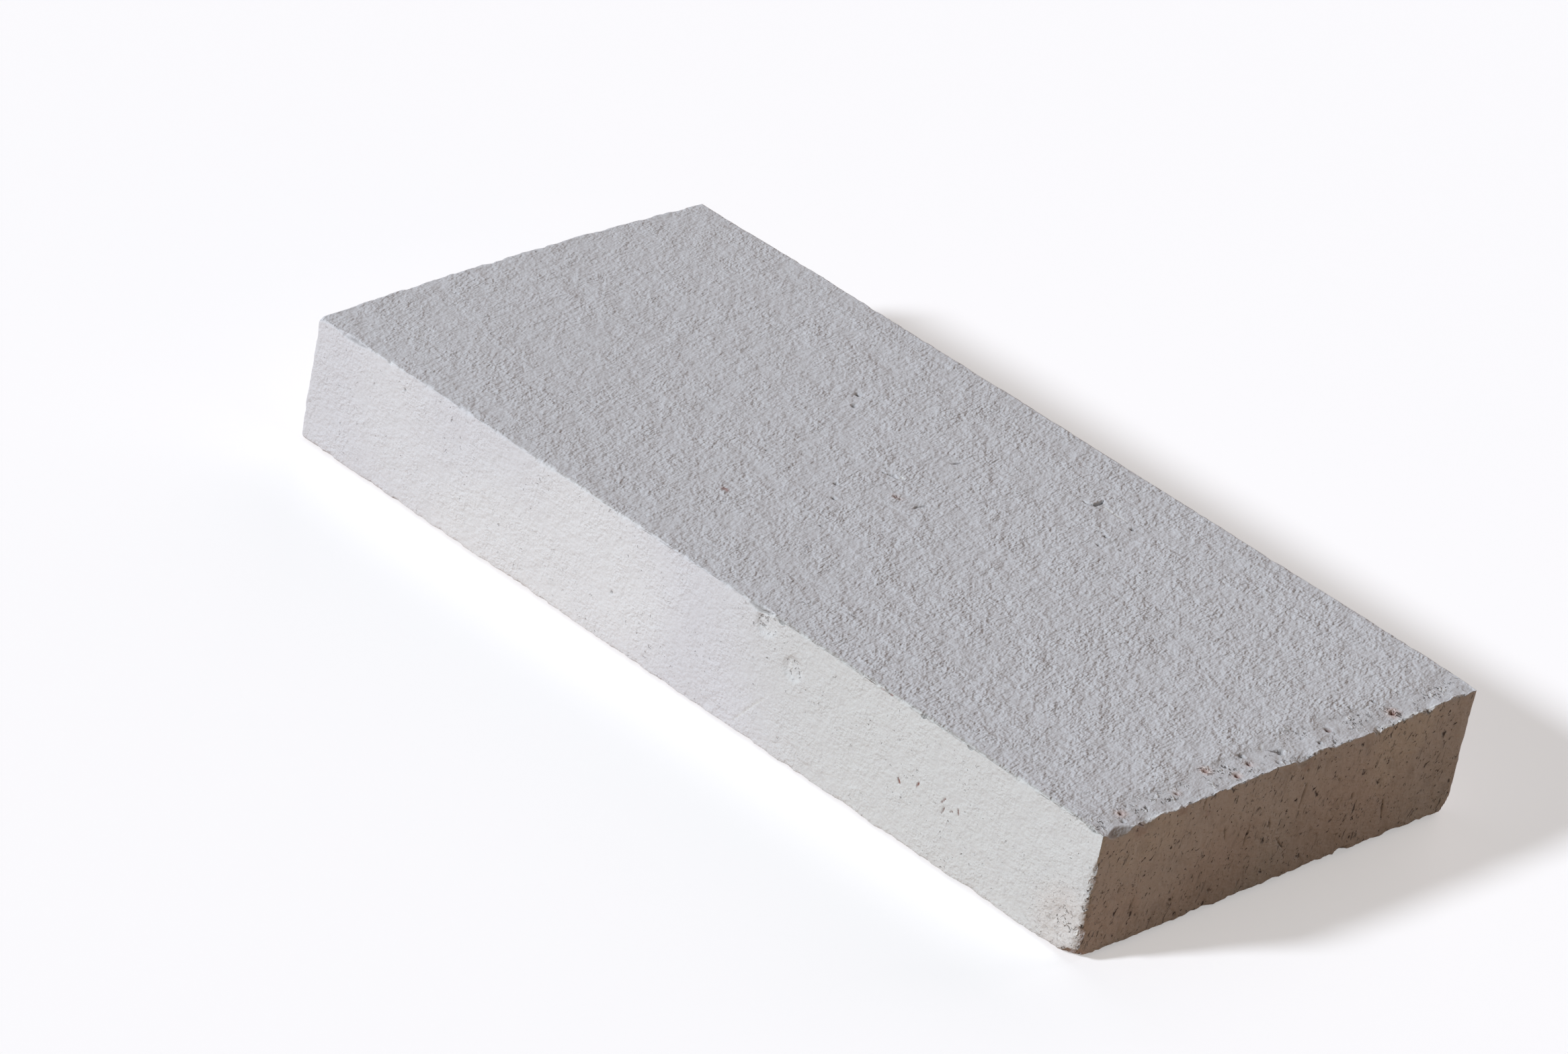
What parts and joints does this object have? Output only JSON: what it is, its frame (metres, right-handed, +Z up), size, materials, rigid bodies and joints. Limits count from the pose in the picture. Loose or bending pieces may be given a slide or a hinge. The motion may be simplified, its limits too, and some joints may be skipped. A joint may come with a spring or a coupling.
{
  "type": "refractory firebrick",
  "caption": "Thin rectangular fired-clay refractory brick with a grainy top face, smoother sides and worn, chipped arrises, laid in mortar to line ovens, hearths and kilns.",
  "frame": {"origin": "centre of the bed face, the large face that the brick lies on", "axes": "+X along the length towards the near end in the picture, +Y across the width away from the side that the picture shows, +Z up through the thickness"},
  "size_m": [0.23, 0.115, 0.03],
  "materials": {
    "fired_clay": "matt, unglazed, grainy fired clay"
  },
  "bodies": {
    "root": {"firebrick": "fired_clay"}
  },
  "joints": []
}
